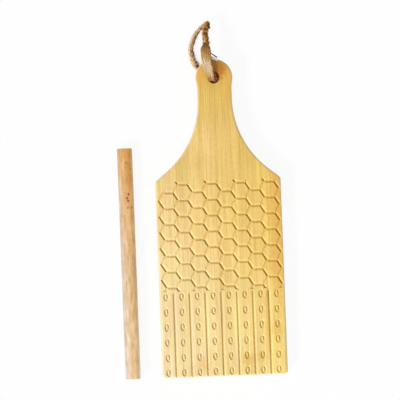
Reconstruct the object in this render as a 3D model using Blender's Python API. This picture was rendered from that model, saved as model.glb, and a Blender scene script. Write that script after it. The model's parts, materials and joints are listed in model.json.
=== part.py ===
"""Bamboo gnocchi board with its rolling rod and its jute hanging cord.

Everything lies on a table at z = 0.  The board's long axis runs along Y with the handle
towards +Y, its grooved face looks up, and the rod lies beside it on the -X side.  The hanging
cord runs under the head of the handle, so the board leans on it by about one degree.
"""
from math import asin, ceil, cos, pi, radians, sin, sqrt, tan

import bmesh
import bpy
from mathutils import Matrix, Vector

# Board blank
board_length = 0.240
board_width = 0.095
board_thickness = 0.012
edge_rounding = 0.0018
end_corner_radius = 0.0028
shoulder_corner_radius = 0.0035

# Handle, from its round head down to the shoulders
head_radius = 0.0140
neck_width = 0.0260
neck_fillet_radius = 0.030
flare_drop = 0.0163
flare_radius = 0.069
flare_sweep = radians(51.0)

# Hanging hole, concentric with the head
hole_diameter = 0.0085
hole_easing = 0.0008

# Lamination: strips as narrow as leaves wood beside the hole's mouth in the middle two
hole_side_wood = 0.00005
glue_gap = 0.0003

# Grooves, cut with V bits to one depth; every cutter reaches past what it cuts by the overrun
honeycomb_groove_width = 0.0028
furrow_groove_width = 0.0022
groove_depth = 0.0010
cutter_overrun = 0.00025
merge_distance = 0.000002

# Honeycomb field
cell_columns = 8
cell_height = 0.01198
cell_left_margin = 0.0027
cell_right_margin = 0.0013
cell_flat_share = 2.0 / 3.0
honeycomb_top_gap = 0.0005
honeycomb_stub = 0.0019
first_left_vertex_level = 2

# Furrow field at the lower end, with its rows of oval rings
stripe_count = 8
stripe_pitch = 0.01197
stripes_off_centre = -0.00055
furrow_length = 0.0638
field_gap = 0.0016
ring_drop = 0.0022
ring_row_pitch = 0.0115
ring_width = 0.0042
ring_height = 0.0068
ring_ridge_width = 0.0006
ring_ridge_height = 0.0030

# Rolling rod
rod_length = 0.175
rod_diameter = 0.0115
rod_end_chamfer = 0.0004
rod_gap = 0.01675

# Hanging cord and its knot
cord_diameter = 0.0035
cord_clearance = 0.0003
cord_point_spacing = 0.0032
knot_width = 0.0068
knot_turns = 3
knot_turn_relief_share = 0.16
knot_end_share = 0.62
knot_slant = radians(16.0)

# Facets
head_arc_steps = 14
flare_arc_steps = 8
corner_arc_steps = 4
fillet_arc_steps = 2
rounding_segments = 2
hole_segments = 32
ring_segments = 12
rod_segments = 48
knot_segments = 14
knot_steps_per_turn = 6
route_steps = 24
cord_resolution = 2
corner_angle = radians(60.0)
crease_angle = radians(35.0)

# Colours and finishes
bamboo_tones = [(0.79, 0.55, 0.25), (0.83, 0.60, 0.30), (0.76, 0.51, 0.22), (0.81, 0.57, 0.28)]
bamboo_roughness = 0.55
beech_colour = (0.74, 0.46, 0.27)
beech_roughness = 0.6
jute_colour = (0.42, 0.27, 0.13)
knot_colour = (0.38, 0.24, 0.11)
jute_roughness = 0.9

# Places that follow from the sizes above, in the board's own frame: x from its centre line,
# y from its lower end, z from its underside
half_width = board_width / 2
half_neck = neck_width / 2
hole_y = board_length - head_radius
hole_radius = hole_diameter / 2
least_strip_width = hole_radius + hole_easing + glue_gap / 2 + hole_side_wood
strip_count = 2 * int(half_width / least_strip_width)
strip_width = board_width / strip_count
flare_start_y = hole_y - flare_drop
flare_end_x = half_neck + flare_radius * (1 - cos(flare_sweep))
flare_end_y = flare_start_y - flare_radius * sin(flare_sweep)
shoulder_y = flare_end_y - (half_width - flare_end_x) / tan(flare_sweep)
lean = asin((cord_diameter + cord_clearance) / hole_y)

# Places on the table: the board and the rod together are centred on the origin
board_x = (rod_gap + rod_diameter) / 2
board_end_y = -board_length / 2
rod_x = board_x - half_width - rod_gap - rod_diameter / 2
rod_y = board_end_y + rod_length / 2


def clear_scene():
    for item in list(bpy.data.objects):
        bpy.data.objects.remove(item, do_unlink=True)


def link(name, data):
    """A new object in the scene; with no data it is an empty."""
    item = bpy.data.objects.new(name, data)
    bpy.context.scene.collection.objects.link(item)
    return item


def plain_material(name, colour, roughness):
    material = bpy.data.materials.new(name)
    material.use_nodes = True
    shader = material.node_tree.nodes["Principled BSDF"]
    shader.inputs["Base Color"].default_value = (*colour, 1.0)
    shader.inputs["Roughness"].default_value = roughness
    shader.inputs["Metallic"].default_value = 0.0
    material.diffuse_color = (*colour, 1.0)
    return material


def mesh_from(bm, name):
    bmesh.ops.recalc_face_normals(bm, faces=bm.faces[:])
    mesh = bpy.data.meshes.new(name)
    bm.to_mesh(mesh)
    bm.free()
    return mesh


def shade_round(item, angle):
    item.data.shade_smooth()
    item.data.set_sharp_from_angle(angle=angle)


def arc(centre, radius, start, end, steps):
    """Points on an arc, both ends included; angles in radians, from +x towards +y."""
    points = []
    for step in range(steps + 1):
        angle = start + (end - start) * step / steps
        points.append((centre[0] + radius * cos(angle), centre[1] + radius * sin(angle)))
    return points


def rounded_corner(before, corner, after, radius, steps):
    """Points that round a convex corner of an outline that runs counter-clockwise."""
    at = Vector(corner)
    back = (Vector(before) - at).normalized()
    ahead = (Vector(after) - at).normalized()
    half_angle = back.angle(ahead) / 2
    centre = at + (back + ahead).normalized() * (radius / sin(half_angle))
    first = at + back * (radius / tan(half_angle)) - centre
    turn = pi - 2 * half_angle
    start = Vector((1.0, 0.0)).angle_signed(first) * -1
    return arc(centre, radius, start, start + turn, steps)


def right_side_outline():
    """Right half of the board's outline, from the lower end up to the top of the head."""
    end_corner = (half_width, 0.0)
    shoulder = (half_width, shoulder_y)
    flare_end = (flare_end_x, flare_end_y)
    points = rounded_corner((0.0, 0.0), end_corner, shoulder, end_corner_radius, corner_arc_steps)
    points += rounded_corner(end_corner, shoulder, flare_end, shoulder_corner_radius, corner_arc_steps)
    flare_centre = (half_neck + flare_radius, flare_start_y)
    points += arc(flare_centre, flare_radius, pi + flare_sweep, pi, flare_arc_steps)
    fillet_reach = half_neck + neck_fillet_radius
    centre_distance = head_radius + neck_fillet_radius
    fillet_drop = sqrt(centre_distance ** 2 - fillet_reach ** 2)
    fillet_angle = asin(fillet_drop / centre_distance)
    fillet_centre = (fillet_reach, hole_y - fillet_drop)
    points += arc(fillet_centre, neck_fillet_radius, pi, pi - fillet_angle, fillet_arc_steps)
    points += arc((0.0, hole_y), head_radius, -fillet_angle, pi / 2, head_arc_steps)[1:]
    return points


def blank_mesh():
    """The sawn board: the outline pulled up to the board's thickness."""
    right = right_side_outline()
    left = [(-x, y) for x, y in reversed(right[:-1])]
    bm = bmesh.new()
    ring = [bm.verts.new((x, y, 0.0)) for x, y in right + left]
    floor = bm.faces.new(ring)
    raised = bmesh.ops.extrude_face_region(bm, geom=[floor])
    top = [part for part in raised["geom"] if isinstance(part, bmesh.types.BMVert)]
    bmesh.ops.translate(bm, verts=top, vec=(0.0, 0.0, board_thickness))
    return mesh_from(bm, "blank")


def hole_cutter():
    """A turned plug with flared mouths, which leaves the hanging hole with eased edges."""
    quarter = [1.5 * pi, 1.25 * pi, pi]
    wide = hole_radius + hole_easing
    lower = [(wide + hole_easing * cos(a), hole_easing + hole_easing * sin(a)) for a in quarter]
    upper = [(r, board_thickness - z) for r, z in reversed(lower)]
    below = (wide, -cutter_overrun)
    above = (wide, board_thickness + cutter_overrun)
    profile = [(0.0, below[1]), below, *lower, *upper, above, (0.0, above[1])]
    bm = bmesh.new()
    verts = [bm.verts.new((r, 0.0, z)) for r, z in profile]
    edges = [bm.edges.new(pair) for pair in zip(verts, verts[1:])]
    bmesh.ops.spin(bm, geom=verts + edges, cent=(0, 0, 0), axis=(0, 0, 1), dvec=(0, 0, 0),
                   angle=2 * pi, steps=hole_segments, use_duplicate=False)
    bmesh.ops.remove_doubles(bm, verts=bm.verts[:], dist=merge_distance)
    bmesh.ops.translate(bm, verts=bm.verts[:], vec=(0.0, hole_y, 0.0))
    return mesh_from(bm, "hole_cutter")


def counter_clockwise(headings):
    """The keys of a dictionary of directions, in counter-clockwise order."""
    west = Vector((-1.0, 0.0))
    return sorted(headings, key=lambda key: -west.angle_signed(headings[key], 0.0))


def groove_network(name, width, places, runs):
    """Closed cutter for V grooves along a plan of straight runs, mitred where runs meet.

    The grooves are as wide as width at the board's face.  places maps a key to a point (x, y)
    on that face and runs is a list of key pairs.  Every key is the end of at least one run.
    A run that ends by itself gets the pointed end that a V bit leaves.
    """
    surface = board_thickness
    rim_z = surface + cutter_overrun
    reach = width / 2 * (groove_depth + cutter_overrun) / groove_depth
    neighbours = {key: [] for key in places}
    for a, b in runs:
        neighbours[a].append(b)
        neighbours[b].append(a)
    bm = bmesh.new()
    valley = {}
    left_rim = {}
    right_rim = {}
    for key, others in neighbours.items():
        at = Vector(places[key])
        valley[key] = bm.verts.new((at.x, at.y, surface - groove_depth))
        heading = {other: (Vector(places[other]) - at).normalized() for other in others}
        ordered = counter_clockwise(heading)
        if len(ordered) == 1:
            only = ordered[0]
            ahead = heading[only]
            side = Vector((-ahead.y, ahead.x))
            left = at + side * reach
            right = at - side * reach
            tip = at - ahead * reach
            left_rim[key, only] = bm.verts.new((left.x, left.y, rim_z))
            right_rim[key, only] = bm.verts.new((right.x, right.y, rim_z))
            tip_vert = bm.verts.new((tip.x, tip.y, rim_z))
            bm.faces.new((left_rim[key, only], tip_vert, right_rim[key, only]))
            bm.faces.new((valley[key], tip_vert, left_rim[key, only]))
            bm.faces.new((valley[key], right_rim[key, only], tip_vert))
            continue
        corners = []
        for first, second in zip(ordered, ordered[1:] + ordered[:1]):
            out_left = Vector((-heading[first].y, heading[first].x))
            out_right = Vector((heading[second].y, -heading[second].x))
            shift = (out_left + out_right) * (reach / (1 + out_left.dot(out_right)))
            corner = bm.verts.new((at.x + shift.x, at.y + shift.y, rim_z))
            left_rim[key, first] = corner
            right_rim[key, second] = corner
            corners.append(corner)
        if len(corners) > 2:
            bm.faces.new(corners)
    for a, b in runs:
        a_left = left_rim[a, b]
        a_right = right_rim[a, b]
        b_left = right_rim[b, a]
        b_right = left_rim[b, a]
        bm.faces.new((a_right, b_right, b_left, a_left))
        bm.faces.new((valley[a], a_left, b_left, valley[b]))
        bm.faces.new((valley[b], b_right, a_right, valley[a]))
    return mesh_from(bm, name)


def honeycomb_plan():
    """Plan of the honeycomb: columns of cells with flat tops, every other one half a cell lower.

    The posts are the columns' corners from left to right, and a level is half a cell's height.
    The field is cut off straight at its top and its bottom, which leaves short stubs there.
    """
    top = shoulder_y - honeycomb_top_gap
    bottom = furrow_length + field_gap
    first_flat = top - honeycomb_stub
    columns_wide = cell_columns + 1 - cell_flat_share
    column_pitch = (board_width - cell_left_margin - cell_right_margin) / columns_wide
    flat = column_pitch * cell_flat_share
    slant = column_pitch - flat
    outer_left = cell_left_margin - half_width
    posts = [outer_left]
    for column in range(cell_columns):
        left = outer_left + slant + column * column_pitch
        posts += [left, left + flat]
    posts.append(posts[-1] + slant)
    last_post = len(posts) - 1
    level_step = cell_height / 2
    last_level = ceil((first_flat - bottom) / level_step) + 1

    def point(post, level):
        return (posts[post], first_flat - level * level_step)

    places = {}
    runs = []

    def add_run(a, b):
        high, low = (a, b) if point(*a)[1] >= point(*b)[1] else (b, a)
        start, end = Vector(point(*high)), Vector(point(*low))
        if end.y > top or start.y < bottom:
            return
        first, first_at = high, start
        second, second_at = low, end
        if start.y > top:
            first, first_at = (*high, low), start.lerp(end, (start.y - top) / (start.y - end.y))
        elif end.y < bottom:
            second, second_at = (*low, high), end.lerp(start, (bottom - end.y) / (start.y - end.y))
        too_short_to_cut = (first_at - second_at).length < honeycomb_groove_width / 2
        if too_short_to_cut:
            return
        places[first] = tuple(first_at)
        places[second] = tuple(second_at)
        runs.append((first, second))

    levels_above_first = 2
    for level in range(-levels_above_first, last_level + 1):
        for post in range(1, last_post, 2):
            column = (post - 1) // 2
            if (level + column) % 2:
                add_run((post, level), (post + 1, level))
        for post in range(0, last_post, 2):
            column = post // 2 - 1
            if not (level + column) % 2:
                continue
            for other in (level - 1, level + 1):
                if post == 0 and level < first_left_vertex_level:
                    continue
                add_run((post, level), (post + 1, other))
    return places, runs


def furrow_plan():
    """Plan of the straight furrows, which divide the lower end into stripes and run off it."""
    places = {}
    runs = []
    for index in range(1, stripe_count):
        x = stripes_off_centre + (index - stripe_count / 2) * stripe_pitch
        places[index, "end"] = (x, -furrow_groove_width)
        places[index, "start"] = (x, furrow_length)
        runs.append(((index, "end"), (index, "start")))
    return places, runs


def ring_cutter():
    """Oval ring grooves in rows down the middle of each stripe, in V section."""
    surface = board_thickness
    rim_z = surface + cutter_overrun
    outer = (ring_width / 2, ring_height / 2)
    inner = (ring_ridge_width / 2, ring_ridge_height / 2)
    spread_share = cutter_overrun / groove_depth
    middle = tuple((a + b) / 2 for a, b in zip(outer, inner))
    flare = tuple((a - m) * spread_share for a, m in zip(outer, middle))
    levels = [
        ((outer[0] + flare[0], outer[1] + flare[1]), rim_z),
        (middle, surface - groove_depth),
        ((inner[0] - flare[0], inner[1] - flare[1]), rim_z),
    ]
    first_row = furrow_length - ring_drop
    last_row = outer[1]
    rows = int((first_row - last_row + cutter_overrun) / ring_row_pitch) + 1
    first_x = stripes_off_centre - (stripe_count - 1) / 2 * stripe_pitch
    bm = bmesh.new()
    for stripe in range(stripe_count):
        x = first_x + stripe * stripe_pitch
        for row in range(rows):
            y = first_row - row * ring_row_pitch
            loops = []
            for (a, b), z in levels:
                turn = [2 * pi * step / ring_segments for step in range(ring_segments)]
                loops.append([bm.verts.new((x + a * cos(t), y + b * sin(t), z)) for t in turn])
            for here, there in zip(loops, loops[1:] + loops[:1]):
                for step in range(ring_segments):
                    after = (step + 1) % ring_segments
                    bm.faces.new((here[step], here[after], there[after], there[step]))
    return mesh_from(bm, "ring_cutter")


def evaluated_mesh(item):
    """The object's mesh with its modifiers applied, as one plain mesh."""
    graph = bpy.context.evaluated_depsgraph_get()
    return bpy.data.meshes.new_from_object(item.evaluated_get(graph))


def cutter_object(mesh):
    item = link(mesh.name, mesh)
    item.hide_render = True
    item.display_type = "WIRE"
    return item


def carved_board_mesh():
    """The whole carved board before it is divided into its strips."""
    blank = link("blank", blank_mesh())
    rounding = blank.modifiers.new("edge_rounding", "BEVEL")
    rounding.width = edge_rounding
    rounding.segments = rounding_segments
    rounding.limit_method = "ANGLE"
    rounding.angle_limit = corner_angle
    cutters = [
        cutter_object(hole_cutter()),
        cutter_object(groove_network("honeycomb_cutter", honeycomb_groove_width, *honeycomb_plan())),
        cutter_object(groove_network("furrow_cutter", furrow_groove_width, *furrow_plan())),
        cutter_object(ring_cutter()),
    ]
    for cutter in cutters:
        cut = blank.modifiers.new(cutter.name, "BOOLEAN")
        cut.operation = "DIFFERENCE"
        cut.solver = "EXACT"
        cut.object = cutter
    mesh = evaluated_mesh(blank)
    for item in [blank, *cutters]:
        bpy.data.objects.remove(item, do_unlink=True)
    return mesh


def slab_mesh(low_x, high_x):
    """A slab that holds one strip of the board and reaches past it on the other sides."""
    bm = bmesh.new()
    bmesh.ops.create_cube(bm, size=1.0)
    size = (high_x - low_x, board_length + 2 * cutter_overrun, board_thickness + 2 * cutter_overrun)
    centre = ((low_x + high_x) / 2, board_length / 2, board_thickness / 2)
    bmesh.ops.transform(bm, matrix=Matrix.LocRotScale(centre, None, size), verts=bm.verts[:])
    return mesh_from(bm, "slab")


def add_board():
    """The board's glued strips, edge to edge, leaning on the cord at the head."""
    rest = link("board_rest", None)
    rest.location = (board_x, board_end_y, 0.0)
    rest.rotation_euler = (lean, 0.0, 0.0)
    whole = link("whole_board", carved_board_mesh())
    for index in range(strip_count):
        low = index * strip_width - half_width
        high = low + strip_width
        low += glue_gap / 2 if index > 0 else -cutter_overrun
        high += -glue_gap / 2 if index < strip_count - 1 else cutter_overrun
        slab = cutter_object(slab_mesh(low, high))
        part = whole.modifiers.new("strip", "BOOLEAN")
        part.operation = "INTERSECT"
        part.solver = "EXACT"
        part.object = slab
        name = f"bamboo_strip_{index + 1:02d}"
        strip = link(name, evaluated_mesh(whole))
        strip.data.name = name
        whole.modifiers.remove(part)
        bpy.data.objects.remove(slab, do_unlink=True)
        strip.parent = rest
        tone = bamboo_tones[index % len(bamboo_tones)]
        strip.data.materials.clear()
        strip.data.materials.append(plain_material(name, tone, bamboo_roughness))
        shade_round(strip, crease_angle)
    bpy.data.objects.remove(whole, do_unlink=True)


def add_rod():
    """The plain beech rod, turned round and cut square, lying beside the board."""
    radius = rod_diameter / 2
    bm = bmesh.new()
    bmesh.ops.create_cone(bm, cap_ends=True, segments=rod_segments, radius1=radius, radius2=radius,
                          depth=rod_length)
    mesh = mesh_from(bm, "rolling_rod")
    rod = link("rolling_rod", mesh)
    chamfer = rod.modifiers.new("end_chamfer", "BEVEL")
    chamfer.width = rod_end_chamfer
    chamfer.segments = 1
    chamfer.limit_method = "ANGLE"
    chamfer.angle_limit = corner_angle
    rod.rotation_euler = (pi / 2, 0.0, 0.0)
    rod.location = (rod_x, rod_y, radius)
    mesh.materials.append(plain_material("beech", beech_colour, beech_roughness))
    shade_round(rod, crease_angle)


# The cord's route from one side of the knot round to the other, in metres: x and y from the
# hole's centre, z above the table.  It goes out along the upper leg, down round the end of the
# loop, back along the table, under the head, up through the hole and over the face.
cord_route = [
    (-0.0050, 0.0232, 0.0167),
    (-0.0048, 0.0270, 0.0165),
    (-0.0046, 0.0308, 0.0161),
    (-0.0044, 0.0344, 0.0155),
    (-0.0042, 0.0377, 0.0144),
    (-0.0041, 0.0405, 0.0125),
    (-0.0043, 0.0421, 0.0098),
    (-0.0050, 0.0421, 0.0066),
    (-0.0065, 0.0404, 0.0038),
    (-0.0087, 0.0375, 0.0022),
    (-0.0115, 0.0340, 0.0018),
    (-0.0143, 0.0298, 0.0018),
    (-0.0165, 0.0251, 0.0018),
    (-0.0175, 0.0200, 0.0018),
    (-0.0168, 0.0150, 0.0018),
    (-0.0144, 0.0106, 0.0018),
    (-0.0110, 0.0071, 0.0018),
    (-0.0072, 0.0043, 0.0018),
    (-0.0040, 0.0023, 0.0019),
    (-0.0012, 0.0006, 0.0028),
    (0.0008, -0.0008, 0.0053),
    (0.0015, -0.0016, 0.0090),
    (0.0013, -0.0018, 0.0118),
    (0.0006, -0.0010, 0.0149),
    (-0.0006, 0.0013, 0.0173),
    (-0.0022, 0.0044, 0.0182),
    (-0.0039, 0.0080, 0.0182),
    (-0.0050, 0.0114, 0.0178),
    (-0.0052, 0.0148, 0.0173),
]


def smooth_path(points, spacing):
    """Even steps along the smooth curve (Catmull-Rom) through the points."""
    at = [Vector(point) for point in points]
    padded = [2 * at[0] - at[1], *at, 2 * at[-1] - at[-2]]
    fine = []
    for p0, p1, p2, p3 in zip(padded, padded[1:], padded[2:], padded[3:]):
        for step in range(route_steps):
            t = step / route_steps
            fine.append(0.5 * (2 * p1 + (p2 - p0) * t + (2 * p0 - 5 * p1 + 4 * p2 - p3) * t ** 2
                               + (3 * p1 - p0 - 3 * p2 + p3) * t ** 3))
    fine.append(at[-1])
    lengths = [0.0]
    for a, b in zip(fine, fine[1:]):
        lengths.append(lengths[-1] + (b - a).length)
    count = round(lengths[-1] / spacing)
    path = []
    index = 0
    for step in range(count + 1):
        wanted = lengths[-1] * step / count
        while index < len(fine) - 2 and lengths[index + 1] < wanted:
            index += 1
        stretch = lengths[index + 1] - lengths[index]
        path.append(fine[index].lerp(fine[index + 1], (wanted - lengths[index]) / stretch))
    return path


def add_cord(pivot, path):
    """The jute cord as a plain round tube with closed ends, along a path seen from the pivot."""
    curve = bpy.data.curves.new("hanging_cord", "CURVE")
    curve.dimensions = "3D"
    curve.bevel_depth = cord_diameter / 2
    curve.bevel_resolution = cord_resolution
    curve.use_fill_caps = True
    spline = curve.splines.new("POLY")
    spline.points.add(len(path) - 1)
    for target, point in zip(spline.points, path):
        target.co = (*point, 1.0)
    cord = link("hanging_cord", curve)
    curve.materials.append(plain_material("jute", jute_colour, jute_roughness))
    cord.parent = pivot
    cord.matrix_parent_inverse = Matrix.Rotation(-lean, 4, "X")


def add_knot(pivot, path):
    """The knot that joins the cord's ends: slanting turns round the line between the ends."""
    first, last = path[0], path[-1]
    along = (first - last).normalized()
    half = (first - last).length / 2 - cord_clearance
    profile = [(0.0, -half)]
    total = knot_turns * knot_steps_per_turn
    for step in range(total + 1):
        share = step / total
        swell = sqrt(1 - (2 * share - 1) ** 2)
        envelope = knot_end_share + (1 - knot_end_share) * swell
        groove = knot_turn_relief_share * cos(pi * knot_turns * share) ** 2
        profile.append((knot_width / 2 * (envelope - groove), half * (2 * share - 1)))
    profile.append((0.0, half))
    bm = bmesh.new()
    verts = [bm.verts.new((r, 0.0, z)) for r, z in profile]
    edges = [bm.edges.new(pair) for pair in zip(verts, verts[1:])]
    bmesh.ops.spin(bm, geom=verts + edges, cent=(0, 0, 0), axis=(0, 0, 1), dvec=(0, 0, 0),
                   angle=2 * pi, steps=knot_segments, use_duplicate=False)
    bmesh.ops.remove_doubles(bm, verts=bm.verts[:], dist=merge_distance)
    for vert in bm.verts:
        level_share = 1 - (vert.co.z / half) ** 2
        vert.co.z += vert.co.x * tan(knot_slant) * level_share
    knot = link("cord_knot", mesh_from(bm, "cord_knot"))
    knot.data.materials.append(plain_material("jute_knot", knot_colour, jute_roughness))
    shade_round(knot, corner_angle)
    turn = along.to_track_quat("Z", "X").to_matrix().to_4x4()
    knot.parent = pivot
    knot.matrix_parent_inverse = Matrix.Rotation(-lean, 4, "X")
    knot.matrix_basis = Matrix.Translation((first + last) / 2) @ turn


def add_hanging_loop():
    """The cord and its knot swing together about the hanging hole's own axis."""
    middle = board_thickness / 2
    along = hole_y * cos(lean) - middle * sin(lean)
    up = hole_y * sin(lean) + middle * cos(lean)
    pivot = link("loop_pivot", None)
    pivot.location = (board_x, board_end_y + along, up)
    pivot.rotation_euler = (lean, 0.0, 0.0)
    foot = Vector((board_x, board_end_y + hole_y, 0.0))
    path = [point + foot - pivot.location for point in smooth_path(cord_route, cord_point_spacing)]
    add_cord(pivot, path)
    add_knot(pivot, path)


clear_scene()
add_board()
add_rod()
add_hanging_loop()
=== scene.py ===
"""The looks of the bamboo gnocchi board, its beech rod and its jute cord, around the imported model."""
import json
from math import asin, cos, pi, radians, sin, sqrt, tan

import bmesh
import bpy
from mathutils import Matrix, Vector


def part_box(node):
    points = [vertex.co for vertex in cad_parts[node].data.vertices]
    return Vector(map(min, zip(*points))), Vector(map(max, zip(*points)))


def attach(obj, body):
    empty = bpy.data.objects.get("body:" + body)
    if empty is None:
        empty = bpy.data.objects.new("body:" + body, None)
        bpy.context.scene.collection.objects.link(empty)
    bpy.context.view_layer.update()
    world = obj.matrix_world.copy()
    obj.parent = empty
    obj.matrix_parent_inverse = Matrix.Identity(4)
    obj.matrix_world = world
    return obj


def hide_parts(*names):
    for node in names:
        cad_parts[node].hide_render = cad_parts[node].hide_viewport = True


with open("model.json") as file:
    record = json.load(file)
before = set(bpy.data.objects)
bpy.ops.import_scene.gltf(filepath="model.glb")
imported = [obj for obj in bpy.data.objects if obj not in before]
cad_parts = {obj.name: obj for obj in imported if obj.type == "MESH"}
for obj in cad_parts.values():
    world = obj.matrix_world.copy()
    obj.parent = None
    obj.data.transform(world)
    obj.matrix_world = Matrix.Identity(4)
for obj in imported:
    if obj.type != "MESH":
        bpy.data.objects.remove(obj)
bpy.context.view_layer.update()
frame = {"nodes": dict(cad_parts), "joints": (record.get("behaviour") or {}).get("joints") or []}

# The view: straight down on the board as it lies on the table, from well above it, and turned so
# that the handle leans a little to the left.
view_place = (0.00047, 0.0063, 1.30)
view_turns = (radians(0.33), radians(0.03), radians(-2.22))
view_lens = 153.2

scene = bpy.context.scene
scene.view_settings.view_transform = "Standard"
camera_data = bpy.data.cameras.new("camera")
camera_data.lens = view_lens
camera = bpy.data.objects.new("camera", camera_data)
camera.location = view_place
camera.rotation_euler = view_turns
scene.collection.objects.link(camera)
scene.camera = camera


# The board: one blank glued up from bamboo strips on edge, sawn to a paddle and rounded over on
# all its edges. Its lower end stands on the table and its head rests on the cord beneath, and
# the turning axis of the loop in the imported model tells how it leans.
board_length = 0.240
board_width = 0.095
board_thickness = 0.012
edge_rounding = 0.0018
rounding_steps = 8
rounding_angle = radians(60)
sharp_angle = radians(14)
end_corner_radius = 0.0028
shoulder_corner_radius = 0.0035
corner_steps = 8
head_radius = 0.0140
head_steps = 32
neck_width = 0.0260
neck_fillet_radius = 0.030
neck_fillet_steps = 4
flare_drop = 0.0163
flare_radius = 0.069
flare_sweep = radians(51.0)
flare_steps = 20
half_width = board_width / 2
half_neck = neck_width / 2
hole_y = board_length - head_radius
flare_start_y = hole_y - flare_drop
flare_end_x = half_neck + flare_radius * (1 - cos(flare_sweep))
flare_end_y = flare_start_y - flare_radius * sin(flare_sweep)
shoulder_y = flare_end_y - (half_width - flare_end_x) / tan(flare_sweep)

swing = next(joint for joint in frame["joints"] if joint["name"] == "loop_swing")
lean = asin(-Vector(swing["axis"]).normalized().y)
hole_middle = Vector((0.0, hole_y, board_thickness / 2))
board_turn = Matrix.Rotation(lean, 4, "X")
board_at = Vector(swing["pos_m"]) - board_turn @ hole_middle
board_place = Matrix.Translation(board_at) @ board_turn


def link(name, data):
    item = bpy.data.objects.new(name, data)
    scene.collection.objects.link(item)
    return item


def arc(centre, radius, start, end, steps):
    """Points on an arc, both ends included; angles in radians, from +x towards +y."""
    points = []
    for step in range(steps + 1):
        angle = start + (end - start) * step / steps
        points.append((centre[0] + radius * cos(angle), centre[1] + radius * sin(angle)))
    return points


def rounded_corner(before, corner, after, radius):
    """Points that round a convex corner of an outline that runs counter-clockwise."""
    at = Vector(corner)
    back = (Vector(before) - at).normalized()
    ahead = (Vector(after) - at).normalized()
    half_angle = back.angle(ahead) / 2
    centre = at + (back + ahead).normalized() * (radius / sin(half_angle))
    first = at + back * (radius / tan(half_angle)) - centre
    start = -Vector((1.0, 0.0)).angle_signed(first)
    return arc(centre, radius, start, start + pi - 2 * half_angle, corner_steps)


def paddle_outline():
    """The paddle's outline, counter-clockwise from the lower end's right corner."""
    end_corner = (half_width, 0.0)
    shoulder = (half_width, shoulder_y)
    flare_end = (flare_end_x, flare_end_y)
    right = rounded_corner((0.0, 0.0), end_corner, shoulder, end_corner_radius)
    right += rounded_corner(end_corner, shoulder, flare_end, shoulder_corner_radius)
    right += arc((half_neck + flare_radius, flare_start_y), flare_radius, pi + flare_sweep, pi,
                 flare_steps)
    reach = half_neck + neck_fillet_radius
    distance = head_radius + neck_fillet_radius
    drop = sqrt(distance ** 2 - reach ** 2)
    fillet_angle = asin(drop / distance)
    right += arc((reach, hole_y - drop), neck_fillet_radius, pi, pi - fillet_angle, neck_fillet_steps)
    right += arc((0.0, hole_y), head_radius, -fillet_angle, pi / 2, head_steps)[1:]
    left = [(-x, y) for x, y in reversed(right[:-1])]
    return right + left


def mesh_from(bm, name):
    bmesh.ops.recalc_face_normals(bm, faces=bm.faces[:])
    mesh = bpy.data.meshes.new(name)
    bm.to_mesh(mesh)
    bm.free()
    return mesh


def blank_mesh():
    bm = bmesh.new()
    sole = bm.faces.new([bm.verts.new((x, y, 0.0)) for x, y in paddle_outline()])
    raised = bmesh.ops.extrude_face_region(bm, geom=[sole])
    top = [part for part in raised["geom"] if isinstance(part, bmesh.types.BMVert)]
    bmesh.ops.translate(bm, verts=top, vec=(0.0, 0.0, board_thickness))
    return mesh_from(bm, "board")


# The hanging hole, bored through the middle of the head, with both its mouths eased.
hole_radius = 0.00425
hole_easing = 0.0008
easing_steps = 6
bore_steps = 72
cut_overrun = 0.0004


def turned_mesh(name, profile, axis, steps, place):
    """A shape turned about an axis through place; the profile is (distance from it, way along it)."""
    bm = bmesh.new()
    verts = [bm.verts.new(Vector((reach, 0.0, 0.0)) + along * Vector(axis)) for reach, along in profile]
    edges = [bm.edges.new(pair) for pair in zip(verts, verts[1:])]
    bmesh.ops.spin(bm, geom=verts + edges, cent=(0, 0, 0), axis=axis, dvec=(0, 0, 0),
                   angle=2 * pi, steps=steps, use_duplicate=False)
    bmesh.ops.remove_doubles(bm, verts=bm.verts[:], dist=cut_overrun / 1000)
    bmesh.ops.translate(bm, verts=bm.verts[:], vec=place)
    return mesh_from(bm, name)


def bore_mesh():
    """The plug of wood that boring and easing take out."""
    wide = hole_radius + hole_easing
    lower = arc((wide, hole_easing), hole_easing, 1.5 * pi, pi, easing_steps)
    upper = [(reach, board_thickness - z) for reach, z in reversed(lower)]
    profile = [(0.0, -cut_overrun), (wide, -cut_overrun), *lower, *upper,
               (wide, board_thickness + cut_overrun), (0.0, board_thickness + cut_overrun)]
    return turned_mesh("bore", profile, (0, 0, 1), bore_steps, (0.0, hole_y, 0.0))


# The ridges: V bits mill them 1 mm deep into the upper face, a wide one for the honeycomb and
# slimmer ones for the furrows and rings, and sanding softens their rims.
groove_depth = 0.0010
rim_softness = 0.00022
honeycomb_groove = 0.0028
furrow_groove = 0.0022
ring_groove = 0.0018

cell_columns = 8
cell_rows = 7
cell_height = 0.01198
cell_left_margin = 0.0027
cell_right_margin = 0.0013
cell_flat_share = 2.0 / 3.0
honeycomb_top_gap = 0.0005
honeycomb_stub = 0.0019
field_block = (0.2, 0.01)
stripe_count = 8
stripe_pitch = 0.01197
stripes_off_centre = -0.00055
furrow_length = 0.0638
field_gap = 0.0016
ring_drop = 0.0022
ring_row_pitch = 0.0115
ring_rows = 6
ring_steps = 40
ring_middle = (0.0012, 0.00245)
columns_wide = cell_columns + 1 - cell_flat_share
column_pitch = (board_width - cell_left_margin - cell_right_margin) / columns_wide
first_stripe_x = stripes_off_centre - (stripe_count - 1) / 2 * stripe_pitch
honeycomb_top = shoulder_y - honeycomb_top_gap


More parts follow.
